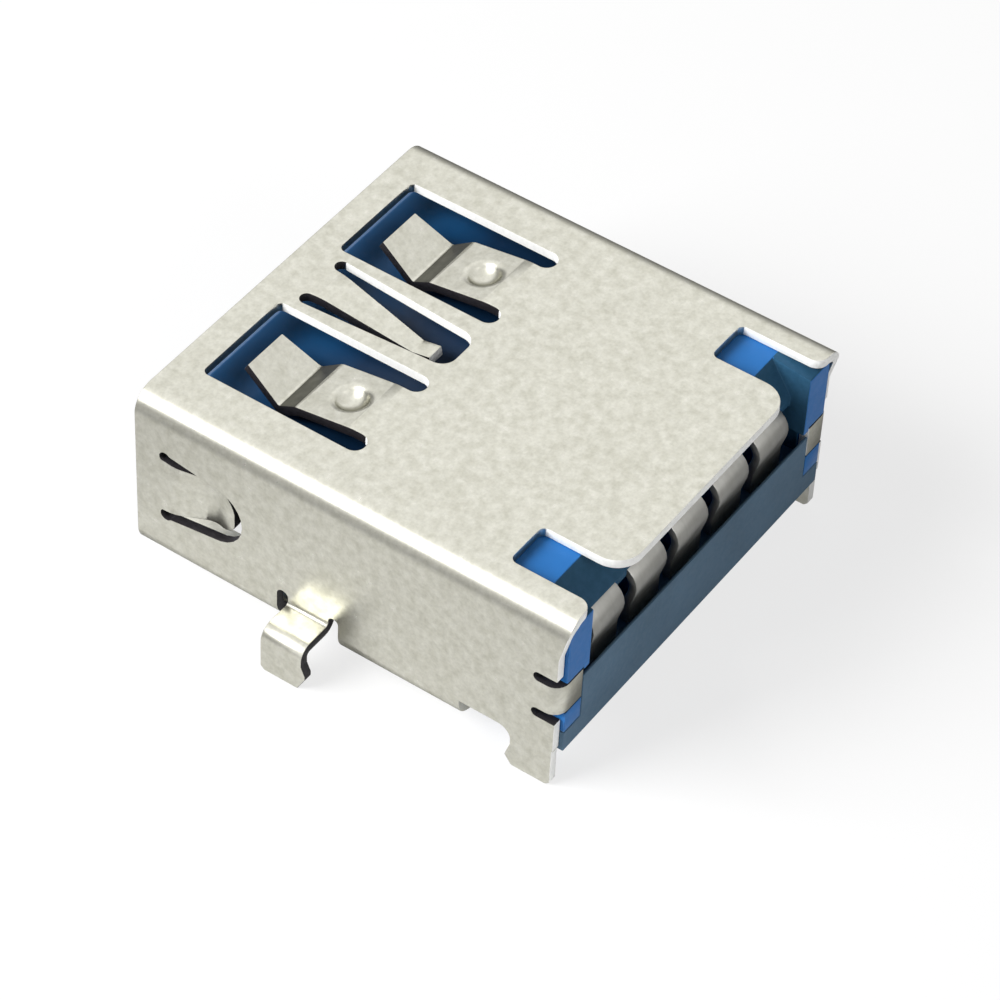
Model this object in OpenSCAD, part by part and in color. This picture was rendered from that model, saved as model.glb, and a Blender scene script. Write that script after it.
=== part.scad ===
// USB 3 type A socket that sinks into a cut-out at the edge of a circuit board.
// The drawing frame runs X across, Y from the mouth to the rear and Z up from the shell's underside.
// Each piece is then placed with the origin on the board plane, midway between the two rows of tails.

/* [Shell] */
// Width of the plug opening inside the shell
opening_w = 12.5; // [12:0.05:13.2]
// Height of the plug opening inside the shell
opening_h = 5.12; // [5:0.02:5.6]
// Thickness of the folded sheet
sheet_t = 0.3; // [0.25:0.01:0.34]
// Outer radius of the four long folds
fold_r = 0.7; // [0.5:0.05:0.8]
// Mouth to the rear faces of the retaining tabs
shell_l = 13.8; // [13.4:0.1:15]
// Rear faces of the tabs to the rear edges of the walls above and below them
wall_back = 0.12; // [0.05:0.01:0.2]
// How far the top plate reaches past the tabs
plate_reach = 0.1; // [0:0.05:0.3]
// How far the corner flanges reach past the tabs
flange_reach = 0.12; // [0.06:0.02:0.2]
// Rear faces of the tabs to the rear end of the bottom plate, at the board's edge
bottom_back = 3.1; // [2.9:0.1:3.6]
// Width of the seam in the bottom plate
seam_gap = 0.05; // [0.03:0.01:0.1]

/* [Board] */
// Height of the board's top face above the shell's underside
board_z = 0.65; // [0.5:0.05:0.9]
// How far the shell's legs reach below the board's top face
leg_below = 1.2; // [0.8:0.05:1.6]
// How far the contact tails reach below the board's top face
tail_below = 0.85; // [0.6:0.05:1.1]

/* [Spring arms] */
// Metal left between the lance's window and an arm's window
arm_web = 0.34; // [0.3:0.02:0.5]
// Width of a spring arm at its root
arm_w = 2.1; // [1.8:0.05:2.3]
// Width of a spring arm at its free edge
arm_tip_w = 1.55; // [1.3:0.05:1.7]
// Width of the slots beside a spring arm
arm_slot = 0.66; // [0.4:0.02:0.7]
// Mouth to the front edge of the arm windows
arm_window_y = 0.9; // [0.7:0.05:1.2]
// Mouth to the closed rear ends of the arm slots
arm_root_y = 6; // [5.6:0.1:6.6]
// Front edge of the window to the free edge of the arm
arm_tip_gap = 0.72; // [0.5:0.02:0.9]
// Length of the flat tip plate, measured along the socket
arm_tip_run = 1.25; // [1:0.05:1.4]
// Length of the steep part behind the crease
arm_ramp_run = 0.67; // [0.5:0.05:0.8]
// Drop of the arm where its steep part starts
arm_sag = 0.3; // [0.2:0.02:0.36]
// Drop of the arm at its crease
arm_press = 0.72; // [0.6:0.02:0.74]
// Diameter of the round dimple in an arm
dimple_d = 1.28; // [1.1:0.04:1.34]
// Depth of the dimple
dimple_depth = 0.3; // [0.24:0.01:0.32]
// Radius of the dimple's rounded rim
dimple_rim = 0.25; // [0.15:0.01:0.28]
// Rear end of the slots to the middle of the dimple
dimple_back = 1.42; // [1.3:0.02:1.5]

/* [Centre lance] */
// Mouth to the front ends of the lance's slots
lance_y = 1.2; // [1:0.05:1.5]
// Length of the lance from the ends of its slots
lance_l = 3.95; // [3.6:0.05:4.2]
// Width of the lance at its root
lance_root_w = 1.2; // [1:0.05:1.3]
// Width of the lance at its tip
lance_tip_w = 0.58; // [0.45:0.02:0.7]
// Width of the lance's window at its front end
lance_window_w = 2; // [1.8:0.05:2.1]
// Width of the lance's window at its rear end
lance_end_w = 1.46; // [1.3:0.02:1.6]
// Drop of the lance where its foot starts
lance_drop = 0.57; // [0.4:0.01:0.6]
// Length of the foot
lance_foot = 0.6; // [0.4:0.05:0.8]
// How far the tip of the foot is turned up again
lance_lift = 0.12; // [0.06:0.01:0.16]
// Lance tip to the rear end of its window
lance_gap = 0.82; // [0.6:0.02:1]

/* [Side fingers] */
// Mouth to the root of a side finger
finger_y = 1; // [0.8:0.05:1.3]
// Length of a side finger
finger_l = 2.3; // [2:0.05:2.6]
// Height of a side finger at its root
finger_h = 1.9; // [1.6:0.05:2]
// Height of a side finger at its rounded end
finger_end_h = 1.44; // [1.2:0.04:1.5]
// Width of the slot around a side finger
finger_slot = 0.26; // [0.18:0.02:0.3]
// Diameter of the round ends of that slot
finger_bulb = 0.36; // [0.3:0.02:0.4]
// How far a side finger is pressed inwards
finger_press = 0.36; // [0.3:0.02:0.44]
// Root of a side finger to its crest, where it is pressed in farthest
finger_crest = 1.38; // [1.3:0.02:1.5]
// How far the tip of a side finger lies inside the wall's face
finger_tip = 0.08; // [0.04:0.01:0.12]

/* [Legs] */
// Mouth to the front edge of a front leg
leg_y = 5.1; // [4.6:0.1:5.6]
// Width of a front leg
leg_w = 1.35; // [1.1:0.05:1.6]
// Wall to leg, measured between their outer faces
leg_out = 1.22; // [1:0.02:1.5]
// Width of the slot in front of a front leg
leg_slot = 0.36; // [0.3:0.02:0.44]
// Width of the slot behind a front leg
leg_back_slot = 0.3; // [0.24:0.02:0.36]
// Height of the leg slots above the board
leg_slot_h = 0.65; // [0.6:0.05:0.8]
// How far the opening under a front leg reaches into the bottom plate
leg_cut = 1; // [0.6:0.05:1.1]
// How far the barb on a front leg stands out from its rear edge
leg_barb = 0.13; // [0.05:0.01:0.2]
// Width of a rear leg
rear_leg_w = 1.3; // [1.1:0.05:1.5]
// Rear face of a tab to the rear edge of a rear leg
rear_leg_back = 0.15; // [0.1:0.01:0.25]
// Height of the wall's relief above the board in front of a rear leg
relief_h = 0.15; // [0.1:0.01:0.3]
// Radius of the relief's inner corner at a rear leg
relief_r = 0.4; // [0.3:0.02:0.5]
// Corner cut at the tips of the legs
tip_cut = 0.12; // [0.08:0.01:0.16]
// How far the toe of a rear leg reaches forward
toe_reach = 0.15; // [0.1:0.01:0.2]

/* [Rear tabs] */
// Height of a retaining tab
tab_h = 1.05; // [0.9:0.05:1.2]
// Middle of a retaining tab above the shell's underside
tab_z = 2.68; // [2.5:0.02:2.9]
// Height of the slits above and below a tab
slit_h = 0.3; // [0.2:0.02:0.36]
// Length of the slits
slit_l = 0.85; // [0.7:0.05:1]

/* [Rear notches] */
// Inner face of the wall to the outer edge of a notch
notch_side = 0.78; // [0.7:0.02:0.9]
// Width of a notch
notch_w = 1.47; // [1.2:0.03:1.5]
// Depth of a notch from the plate's rear edge
notch_l = 2.55; // [2.2:0.05:2.8]
// Radius of the plate's rear corners
plate_corner_r = 0.8; // [0.5:0.05:1]

/* [Insulator] */
// Clearance between the mouldings and what they touch
mould_gap = 0.02; // [0.01:0.01:0.04]
// Width of the tongue
tongue_w = 11.1; // [10.8:0.05:11.3]
// Thickness of the tongue
tongue_t = 1.84; // [1.76:0.02:1.9]
// Gap between the tongue and the shell's top plate
tongue_gap = 0.72; // [0.7:0.01:0.8]
// Mouth to the front of the tongue
tongue_y = 0.15; // [0.1:0.05:0.4]
// Mouth to the face that stops the plug
stop_y = 9.2; // [8.9:0.05:9.5]
// Rear faces of the tabs to the rear end of the base's level top
base_back = 1.25; // [1.1:0.05:1.4]
// Rear faces of the tabs to the rear end of the lip over the strips
lip_back = 0.55; // [0.5:0.05:0.65]
// Height of the lip at that end
lip_h = 0.33; // [0.25:0.02:0.4]
// Width of the two side blocks beside the strips
block_w = 1.05; // [0.95:0.05:1.15]
// Drop of a side block's top at the rear
block_drop = 0.18; // [0.1:0.02:0.4]
// Height of the gap between the tail cover and a side block's underside
block_gap = 0.22; // [0.1:0.02:0.3]

/* [Tail cover] */
// Height of the tail cover
cover_h = 2.27; // [2.1:0.01:2.35]
// Length of the tail cover along the socket
cover_l = 1.1; // [1:0.05:1.2]
// Inner face of the wall to the end of the cover's upper part
cover_inset = 0.8; // [0.75:0.01:0.9]
// Depth of the groove in which the strips end
groove_d = 0.7; // [0.5:0.05:0.9]
// Thickness of the cover's rear wall at the bottom of the groove
cover_wall = 0.2; // [0.16:0.01:0.22]
// Thickness of the rear wall at its top
cover_rim = 0.08; // [0.06:0.01:0.12]
// Height of the cover's wide foot below the side blocks
foot_h = 0.7; // [0.5:0.05:0.9]

/* [Contacts] */
// Thickness of the contact metal
contact_t = 0.25; // [0.2:0.01:0.28]
// Pitch of the five flat contacts
flat_pitch = 2; // [1.9:0.02:2.05]
// Width of a flat contact along the tongue
flat_w = 0.8; // [0.6:0.05:0.9]
// Width of a flat contact's strip at the rear
strip_w = 1.45; // [1.3:0.05:1.5]
// Top of the strips below the top of the tongue
strip_drop = 0.4; // [0.35:0.01:0.45]
// Rear faces of the tabs to the middle of the strips' tails
strip_back = 0.53; // [0.5:0.01:0.6]
// How far the corner of the strips' bend stands out behind their tails
strip_lean = 0.35; // [0.2:0.01:0.37]
// Outer radius of the strips' bend
strip_r = 0.68; // [0.6:0.01:0.72]
// Tongue's front to the front of a contact pad
pad_back = 0.75; // [0.6:0.05:0.9]
// Length of a contact pad
pad_l = 2; // [1.8:0.05:2.2]
// Middle of the socket to the inner spring contacts
spring_x = 1; // [0.95:0.01:1.05]
// Pitch from an inner to an outer spring contact
spring_pitch = 2.5; // [2.45:0.01:2.55]
// Width of a spring contact
spring_w = 0.9; // [0.7:0.05:1]
// Height of the middle of a spring contact above the tongue's underside, at its root
spring_lift = 0.3; // [0.26:0.02:0.34]
// Ramp of a flat contact to the tip of a spring contact
spring_clear = 0.5; // [0.4:0.05:0.6]
// Tip of a spring contact to its lowest point, along the socket
spring_lead = 1.2; // [1:0.05:1.4]
// Room beside and above a spring contact in its groove
groove_room = 0.15; // [0.1:0.01:0.2]
// How far a spring contact bows out below the tongue
spring_bow = 0.55; // [0.4:0.05:0.7]
// Width of the tails
tail_w = 0.5; // [0.4:0.02:0.6]
// Distance between the two rows of tails
row_pitch = 1.5; // [1.4:0.05:1.7]

/* [Hidden] */
$fn = 48;

// Reach of a cutter past the face it cuts
over = 1;
// Steps in a bend of a sheet and in a round end
bend_steps = 6;
arc_steps = 12;

// Outer size of the shell and the middle planes of its sheet
shell_w = opening_w + 2 * sheet_t;
shell_h = opening_h + 2 * sheet_t;
wall_x = shell_w / 2 - sheet_t / 2;
plate_z = shell_h - sheet_t / 2;
wall_l = shell_l - wall_back;
plate_l = shell_l + plate_reach;
flange_l = shell_l + flange_reach;
bottom_l = shell_l - bottom_back;
notch_x = opening_w / 2 - notch_side - notch_w;
// Inside radius of a tight bend, and its radius at the middle of the sheet
tight_r = 0.13;
sheet_bend = sheet_t / 2 + tight_r;
// Radius of the gentle bends at the roots of the arms and the lance
root_bend = 2;

// Spring arm stations along the socket, from the free edge to the root
arm_tip_y = arm_window_y + arm_tip_gap;
arm_crease_y = arm_tip_y + arm_tip_run;
arm_bend_y = arm_crease_y + arm_ramp_run;
arm_start_y = arm_root_y - arm_slot / 2;
arm_fold_y = arm_start_y - sheet_t;
arm_window_w = arm_w + 2 * arm_slot;
arm_x = lance_window_w / 2 + arm_web + arm_window_w / 2;
arm_slope = atan(arm_sag / (arm_fold_y - arm_bend_y));
dimple_y = arm_root_y - dimple_back;
// Centre of the dimple's rim and the bowl that touches it; the rim ends rim_dip below the arm's face
rim_slope = 12;
rim_dip = 0.01;
rim_z = -rim_dip - dimple_rim * cos(rim_slope);
bowl_r = (pow(dimple_d / 2, 2) + pow(rim_z + dimple_depth, 2) - pow(dimple_rim, 2))
    / (2 * (dimple_rim + rim_z + dimple_depth));
bowl_z = bowl_r - dimple_depth;
bowl_angle = asin(dimple_d / 2 / (bowl_r + dimple_rim));

// Lance stations
lance_end_y = lance_y + lance_l;
lance_window_end = lance_end_y + lance_gap;
lance_slot = (lance_window_w - lance_root_w) / 2;
lance_start_y = lance_y + lance_slot / 2;

// Side fingers
finger_z = shell_h / 2;
finger_end_y = finger_y + finger_l;
finger_crest_y = finger_y + finger_crest;
finger_bend = 1;

// Legs
leg_tip_z = board_z - leg_below;
leg_top_z = board_z + leg_slot_h;
leg_rear_y = leg_y + leg_w;
leg_cut_x = opening_w / 2 - leg_cut;
relief_z = board_z + relief_h;
rear_leg_y1 = shell_l - rear_leg_back;
rear_leg_y0 = rear_leg_y1 - rear_leg_w;

// Mouldings
tongue_top = shell_h - sheet_t - tongue_gap;
tongue_z = tongue_top - tongue_t;
base_w = opening_w - 2 * mould_gap;
base_z = sheet_t + mould_gap;
base_r = fold_r - sheet_t;
base_top = shell_h - sheet_t - mould_gap;
base_top_l = shell_l - base_back;
lip_y = shell_l - lip_back;
block_x = opening_w / 2 - block_w;
cover_x = opening_w / 2 - cover_inset;
cover_y = shell_l - cover_l;
cover_top = board_z + cover_h;
cover_floor = cover_top - groove_d;
foot_top = board_z + foot_h;
base_rear = cover_y - mould_gap;
tab_x = cover_x + 2 * mould_gap;

// Contacts
strip_top = tongue_top - strip_drop;
run_z = strip_top - contact_t / 2;
strip_y = shell_l - strip_back;
strip_bend = strip_r - contact_t / 2;
strip_start = base_top_l - over;
strip_end_z = cover_floor + 2 * mould_gap;
lip_top = strip_top + 2 * mould_gap;
contact_bend = 0.275;
pad_y = tongue_y + pad_back;
pad_z = tongue_z + contact_t / 2;
ramp_run = 0.6;
ramp_y = pad_y + pad_l + ramp_run;
spring_row_y = strip_y - row_pitch;
spring_z = tongue_z + spring_lift;
spring_tip_y = ramp_y + spring_clear;
groove_y = spring_tip_y - 2 * groove_room;
groove_h = spring_lift + contact_t / 2 + groove_room;
groove_w = spring_w + 2 * groove_room;
tail_tip_z = board_z - tail_below;
origin_y = strip_y - row_pitch / 2;

// Colours as seen in the photograph
metal = [0.79, 0.78, 0.72];
plastic = [0.2, 0.45, 0.72];
dark_plastic = [0.24, 0.29, 0.37];
contact_metal = [0.72, 0.71, 0.68];

// Moves a piece from the drawing frame to the board frame
module place() {
    translate([0, -origin_y, -board_z]) children();
}

// Draws a piece and its mirror image across the middle of the socket
module both_sides() {
    children();
    mirror([1, 0, 0]) children();
}

// Outline of a bent strip that follows the middle line p with thickness t; r is one bend radius or a list
function heading(a, b) = (b - a) / norm(b - a);
function left_of(d) = [-d[1], d[0]];
function turned(v, a) = [v[0] * cos(a) - v[1] * sin(a), v[0] * sin(a) + v[1] * cos(a)];
function turn(d0, d1) = atan2(d0[0] * d1[1] - d0[1] * d1[0], d0 * d1);
function bend_points(p, i, r, off) =
    let (
        d0 = heading(p[i - 1], p[i]),
        a = turn(d0, heading(p[i], p[i + 1])),
        s = sign(a),
        middle = p[i] - d0 * r * tan(abs(a) / 2) + left_of(d0) * s * r
    )
    [for (k = [0:bend_steps]) middle + turned(left_of(d0), a * k / bend_steps) * (off - s * r)];
function strip_side(p, r, off) =
    let (n = len(p))
    concat(
        [p[0] + left_of(heading(p[0], p[1])) * off],
        [for (i = [1:n - 2]) each bend_points(p, i, is_list(r) ? r[i - 1] : r, off)],
        [p[n - 1] + left_of(heading(p[n - 2], p[n - 1])) * off]
    );
function backwards(v) = [for (i = [len(v) - 1:-1:0]) v[i]];

// Points along an arc of radius r about c, from angle a0 to angle a1
function arc(c, r, a0, a1) =
    [for (k = [0:arc_steps]) let (a = a0 + (a1 - a0) * k / arc_steps) c + r * [cos(a), sin(a)]];

// Bent strip of width w, drawn in the XY plane and centred on Z
module bent_strip(p, r, t, w) {
    linear_extrude(w, center = true)
        polygon(concat(strip_side(p, r, t / 2), backwards(strip_side(p, r, -t / 2))));
}

// Turns a shape drawn in XY so that its X runs along Y and its Y up
module side_on() {
    rotate([90, 0, 90]) children();
}

// Turns a shape drawn in XY so that its Y runs up and its Z along the socket
module end_on() {
    rotate([90, 0, 0]) children();
}

// Rectangle with round corners, centred
module round_rect(w, h, r) {
    square([w - 2 * r, h], center = true);
    square([w, h - 2 * r], center = true);
    for (x = [-1, 1], y = [-1, 1])
        translate([x * (w / 2 - r), y * (h / 2 - r)]) circle(r);
}

// Prism of a round rectangle along the socket, from y0 to y1, standing on height z0
module long_prism(w, h, r, y0, y1, z0) {
    translate([0, y1, z0 + h / 2]) end_on() linear_extrude(y1 - y0) round_rect(w, h, r);
}

// Fills the corner at the origin between +X and +Y, outside a circle of radius r
module corner_fill(r) {
    difference() {
        square(r);
        translate([r, r]) circle(r);
    }
}

// Plan of the opening around a spring arm, in the arm's own frame
module arm_window() {
    front_r = 0.18;
    difference() {
        translate([-arm_window_w / 2, arm_window_y]) square([arm_window_w, arm_start_y - arm_window_y]);
        for (x = [-1, 1])
            translate([x * arm_window_w / 2, arm_window_y]) mirror([(x + 1) / 2, 0]) corner_fill(front_r);
    }
    for (x = [-1, 1])
        translate([x * (arm_w + arm_slot) / 2, arm_start_y]) circle(d = arm_slot);
}

// Plan of a spring arm with its taper and clipped tip corners
module arm_plan() {
    clip = 0.18;
    crease_w = (arm_w + 2 * arm_tip_w) / 3 + clip;
    half = [
        [arm_w / 2, arm_root_y + over], [arm_w / 2, arm_bend_y], [crease_w / 2, arm_crease_y],
        [arm_tip_w / 2, arm_tip_y + clip], [arm_tip_w / 2 - clip, arm_tip_y - over]
    ];
    polygon(concat(half, [for (q = backwards(half)) [-q[0], q[1]]]));
}

// Spring arm in the top plate, drawn at the middle of the socket
module spring_arm() {
    root = [arm_root_y + sheet_t, plate_z];
    middle_line = [
        root, [arm_fold_y, plate_z], [arm_bend_y, plate_z - arm_sag],
        [arm_crease_y, plate_z - arm_press], [arm_tip_y, plate_z]
    ];
    radii = [root_bend, sheet_bend, sheet_bend];
    top_at_dimple = shell_h - (arm_fold_y - dimple_y) * tan(arm_slope);
    difference() {
        union() {
            intersection() {
                side_on() bent_strip(middle_line, radii, sheet_t, arm_w + over);
                linear_extrude(shell_h + over) arm_plan();
            }
            translate([0, dimple_y, top_at_dimple]) rotate([arm_slope, 0, 0]) dimple_back_face();
        }
        translate([0, dimple_y, top_at_dimple]) rotate([arm_slope, 0, 0]) dimple_bowl();
    }
}

// Hollow of a dimple: a round bowl, a rim that curves out of it, and a slope that leaves the arm's face at Z = 0
module dimple_bowl() {
    rim = [dimple_d / 2, rim_z];
    slope = [cos(rim_slope), sin(rim_slope)];
    edge = rim + dimple_rim * left_of(slope) + dimple_rim * slope;
    rotate_extrude() polygon(concat(
        arc([0, bowl_z], bowl_r, -90, bowl_angle - 90),
        arc(rim, dimple_rim, bowl_angle + 90, rim_slope + 90),
        [edge, [edge[0], over], [0, over]]
    ));
}

// Rounded underside of a dimple
module dimple_back_face() {
    intersection() {
        translate([0, 0, bowl_z]) sphere(bowl_r + sheet_t);
        translate([0, 0, -sheet_t / 2 - over / 2]) cube([2 * dimple_d, 2 * dimple_d, over], center = true);
    }
}

// Plan of the opening around the centre lance, with round ends to its two slots
module lance_window() {
    end_r = 0.45;
    slot_x = (lance_window_w - lance_slot) / 2;
    end_x = lance_end_w / 2 - end_r;
    end_y = lance_window_end - end_r;
    polygon(concat(
        arc([-slot_x, lance_start_y], lance_slot / 2, 180, 360),
        arc([slot_x, lance_start_y], lance_slot / 2, 180, 360),
        arc([end_x, end_y], end_r, 0, 90),
        arc([-end_x, end_y], end_r, 90, 180)
    ));
}

// Lance that runs from its root at the front down to a foot that is turned up a little
module centre_lance() {
    fold_y = lance_start_y + sheet_t;
    foot_y = lance_end_y - lance_foot;
    middle_line = [
        [lance_y - sheet_t, plate_z], [fold_y, plate_z], [foot_y, plate_z - lance_drop],
        [lance_end_y, plate_z - lance_drop + lance_lift]
    ];
    intersection() {
        side_on() bent_strip(middle_line, [root_bend, sheet_bend], sheet_t, lance_window_w);
        linear_extrude(shell_h + over) polygon([
            [-lance_root_w / 2, lance_y - over], [-lance_root_w / 2, lance_start_y],
            [-lance_tip_w / 2, foot_y], [-lance_tip_w / 2, lance_end_y + over],
            [lance_tip_w / 2, lance_end_y + over], [lance_tip_w / 2, foot_y],
            [lance_root_w / 2, lance_start_y], [lance_root_w / 2, lance_y - over]
        ]);
    }
}

// Outline of a side finger from station y0, X along the socket and Y up from the finger's middle
module finger_outline(grow, y0) {
    end_r = finger_end_h / 2;
    root_h = finger_h / 2 + grow;
    polygon(concat(
        [[y0, root_h], [y0, -root_h], [finger_y, -root_h]],
        arc([finger_end_y - end_r, 0], end_r + grow, -90, 90),
        [[finger_y, root_h]]
    ));
}

// Opening around a side finger, with round ends to its two slots
module finger_window() {
    finger_outline(finger_slot, finger_y - seam_gap);
    for (z = [-1, 1])
        translate([finger_y, z * (finger_h + finger_slot) / 2]) circle(d = finger_bulb);
}

// Side finger on the +X wall, pressed inwards with its tip turned back
module side_finger() {
    middle_line = [
        [wall_x, finger_y - sheet_t], [wall_x, finger_y + sheet_t], [wall_x - finger_press, finger_crest_y],
        [wall_x - finger_tip, finger_end_y]
    ];
    translate([0, 0, finger_z]) intersection() {
        bent_strip(middle_line, finger_bend, sheet_t, finger_h);
        translate([shell_w / 2 - over, 0, 0]) side_on() linear_extrude(2 * over)
            finger_outline(0, finger_y - over);
    }
}

// Room cut in the wall, fold and bottom plate for a front leg, on the +X side
module leg_opening() {
    y0 = leg_y - leg_slot;
    y1 = leg_rear_y + leg_back_slot;
    round_z = leg_top_z - leg_slot / 2;
    translate([leg_cut_x, y0, -over]) cube([leg_cut + over, y1 - y0, over + round_z]);
    translate([opening_w / 2 - over, leg_y - leg_slot / 2, round_z]) rotate([0, 90, 0])
        cylinder(d = leg_slot, h = 2 * over);
    translate([opening_w / 2 - over, y1 - leg_back_slot / 2, round_z]) rotate([0, 90, 0])
        cylinder(d = leg_back_slot, h = 2 * over);
}

// Front leg on the +X side: out over the board, then down through it, with a barb on its rear edge
module front_leg() {
    shelf_z = board_z + sheet_t / 2;
    top_z = leg_top_z + sheet_t;
    neck_z = board_z - leg_below / 4;
    barb_z = board_z - leg_below / 2;
    middle_line = [
        [wall_x, top_z], [wall_x, shelf_z], [wall_x + leg_out, shelf_z], [wall_x + leg_out, leg_tip_z]
    ];
    outline = [
        [leg_y, top_z], [leg_y, leg_tip_z + tip_cut], [leg_y + tip_cut, leg_tip_z],
        [leg_rear_y - tip_cut, leg_tip_z], [leg_rear_y + leg_barb, barb_z - leg_barb],
        [leg_rear_y + leg_barb, barb_z], [leg_rear_y, neck_z], [leg_rear_y, top_z]
    ];
    intersection() {
        translate([0, leg_y + leg_w / 2, 0]) end_on()
            bent_strip(middle_line, sheet_bend, sheet_t, leg_w + over);
        side_on() linear_extrude(shell_w) polygon(outline);
    }
}

// Rear leg in the plane of the +X wall, with a forward toe and a round inner corner
module rear_leg() {
    toe_z = leg_tip_z + leg_below / 4;
    translate([shell_w / 2 - sheet_t, 0, 0]) side_on() linear_extrude(sheet_t) {
        polygon([
            [rear_leg_y0, relief_z + sheet_t], [rear_leg_y0, board_z - leg_below / 3],
            [rear_leg_y0 - toe_reach, toe_z], [rear_leg_y0 + toe_reach / 2, leg_tip_z],
            [rear_leg_y1 - tip_cut, leg_tip_z], [rear_leg_y1, leg_tip_z + tip_cut],
            [rear_leg_y1, relief_z + sheet_t]
        ]);
        translate([rear_leg_y0, relief_z]) rotate(180) corner_fill(relief_r);
    }
}

// Slits and free end around a retaining tab, on the +X side
module tab_opening() {
    free_h = tab_h + 2 * slit_h;
    slit_y = shell_l - slit_l + slit_h / 2;
    translate([opening_w / 2 - over, slit_y, tab_z - free_h / 2]) cube([2 * over, slit_l + over, free_h]);
    for (z = [-1, 1])
        translate([opening_w / 2 - over, slit_y, tab_z + z * (tab_h + slit_h) / 2]) rotate([0, 90, 0])
            cylinder(d = slit_h, h = 2 * over);
}

// Retaining tab on the +X side, folded inwards behind the insulator
module rear_tab() {
    tab_y = shell_l - sheet_t / 2;
    middle_line = [[wall_x, shell_l - slit_l - sheet_t], [wall_x, tab_y], [tab_x, tab_y]];
    translate([0, 0, tab_z]) bent_strip(middle_line, sheet_bend, sheet_t, tab_h);
}

// Plan of what is cut from the rear of the top plate: two notches, and the step to the corner flanges
module rear_plan() {
    front_r = 0.2;
    notch_y = plate_l - notch_l;
    tail = notch_l + over;
    flange_r = shell_w / 2 - notch_x - notch_w - fold_r;
    translate([-notch_x, plate_l]) square([2 * notch_x, over]);
    for (x = [-1, 1]) mirror([(1 - x) / 2, 0]) {
        difference() {
            translate([notch_x, notch_y]) square([notch_w, tail]);
            translate([notch_x, notch_y]) corner_fill(front_r);
            translate([notch_x + notch_w, notch_y]) mirror([1, 0]) corner_fill(front_r);
        }
        translate([notch_x, plate_l]) rotate(180) corner_fill(plate_corner_r);
        translate([notch_x + notch_w, flange_l]) rotate(-90) corner_fill(flange_r);
    }
}

// Side view of what is cut from the rear of the walls and below them
module wall_trim() {
    flange_z = shell_h - fold_r / 2;
    slope_z = shell_h - 2 * fold_r;
    polygon([
        [bottom_l, -over], [bottom_l, relief_z], [wall_l, relief_z], [wall_l, slope_z],
        [flange_l, flange_z], [flange_l + over, flange_z], [flange_l + over, -over]
    ]);
}

// Seam in the bottom plate, with a dovetail at its middle
module bottom_seam() {
    dove_y = bottom_l / 2;
    dove_w = 1.1;
    neck = 0.7;
    flare = 1.2;
    bent_strip([
        [0, -over], [0, dove_y - neck], [dove_w, dove_y - flare], [dove_w, dove_y + flare],
        [0, dove_y + neck], [0, bottom_l + over]
    ], 2 * seam_gap, seam_gap, 2 * over);
}

// The folded sheet with all its openings
module folded_sheet() {
    difference() {
        long_prism(shell_w, shell_h, fold_r, 0, flange_l, 0);
        long_prism(opening_w, opening_h, fold_r - sheet_t, -over, flange_l + over, sheet_t);
        translate([-shell_w / 2 - over, 0, 0]) side_on() linear_extrude(shell_w + 2 * over) wall_trim();
        translate([0, 0, shell_h - sheet_t - over / 2]) linear_extrude(sheet_t + over) {
            both_sides() translate([arm_x, 0]) arm_window();
            lance_window();
            rear_plan();
        }
        translate([0, 0, -over / 2]) linear_extrude(sheet_t + over) both_sides()
            translate([arm_x, 0]) arm_window();
        bottom_seam();
        both_sides() {
            translate([opening_w / 2 - over, 0, finger_z]) side_on() linear_extrude(2 * over) finger_window();
            leg_opening();
            tab_opening();
        }
    }
}

// Folded sheet-metal shell
module shell() color(metal) place() {
    folded_sheet();
    centre_lance();
    both_sides() {
        translate([arm_x, 0, 0]) spring_arm();
        translate([arm_x, 0, shell_h]) mirror([0, 0, 1]) spring_arm();
        side_finger();
        front_leg();
        rear_leg();
        rear_tab();
    }
}

// Flat contact at position x: pad, ramp and run along the tongue, wide strip over the rear and straight tail
module flat_contact(x, gap) {
    t = contact_t + 2 * gap;
    front = [[pad_y - gap, pad_z], [pad_y + pad_l, pad_z], [ramp_y, run_z], [strip_start + over / 2, run_z]];
    rear = [
        [strip_start - gap, run_z], [strip_y + strip_lean, run_z], [strip_y, cover_top],
        [strip_y, strip_end_z - gap]
    ];
    translate([x, 0, 0]) {
        side_on() bent_strip(front, contact_bend, t, flat_w + 2 * gap);
        side_on() bent_strip(rear, strip_bend, t, strip_w + 2 * gap);
        translate([-tail_w / 2 - gap, strip_y - t / 2, tail_tip_z - gap])
            cube([tail_w + 2 * gap, t, strip_end_z + over / 2 - tail_tip_z]);
    }
}

// Spring contact at position x: bowed arm under the tongue and straight tail through the base
module spring_contact(x, gap) {
    t = contact_t + 2 * gap;
    arm_end = spring_row_y - contact_t;
    arm = [
        [spring_tip_y, tongue_z + contact_t], [spring_tip_y + spring_lead, tongue_z - spring_bow],
        [stop_y - ramp_run, spring_z], [arm_end + gap, spring_z]
    ];
    tail = [[arm_end - contact_t, spring_z], [spring_row_y, spring_z], [spring_row_y, tail_tip_z - gap]];
    translate([x, 0, 0]) {
        side_on() bent_strip(arm, contact_bend, t, spring_w + 2 * gap);
        side_on() bent_strip(tail, contact_t / 2 + tight_r, t, tail_w + 2 * gap);
    }
}

// Positions of the contacts across the socket
flat_x = [for (i = [-2:2]) i * flat_pitch];
spring_xs = [-spring_x - spring_pitch, -spring_x, spring_x, spring_x + spring_pitch];

// Side view of the base behind the plug stop, for its middle part with the lip over the strips
module base_middle() {
    polygon([
        [stop_y, board_z], [stop_y, base_top], [base_top_l, base_top], [lip_y, lip_top],
        [lip_y, lip_top - lip_h], [base_rear, lip_top - lip_h], [base_rear, board_z]
    ]);
}

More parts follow.
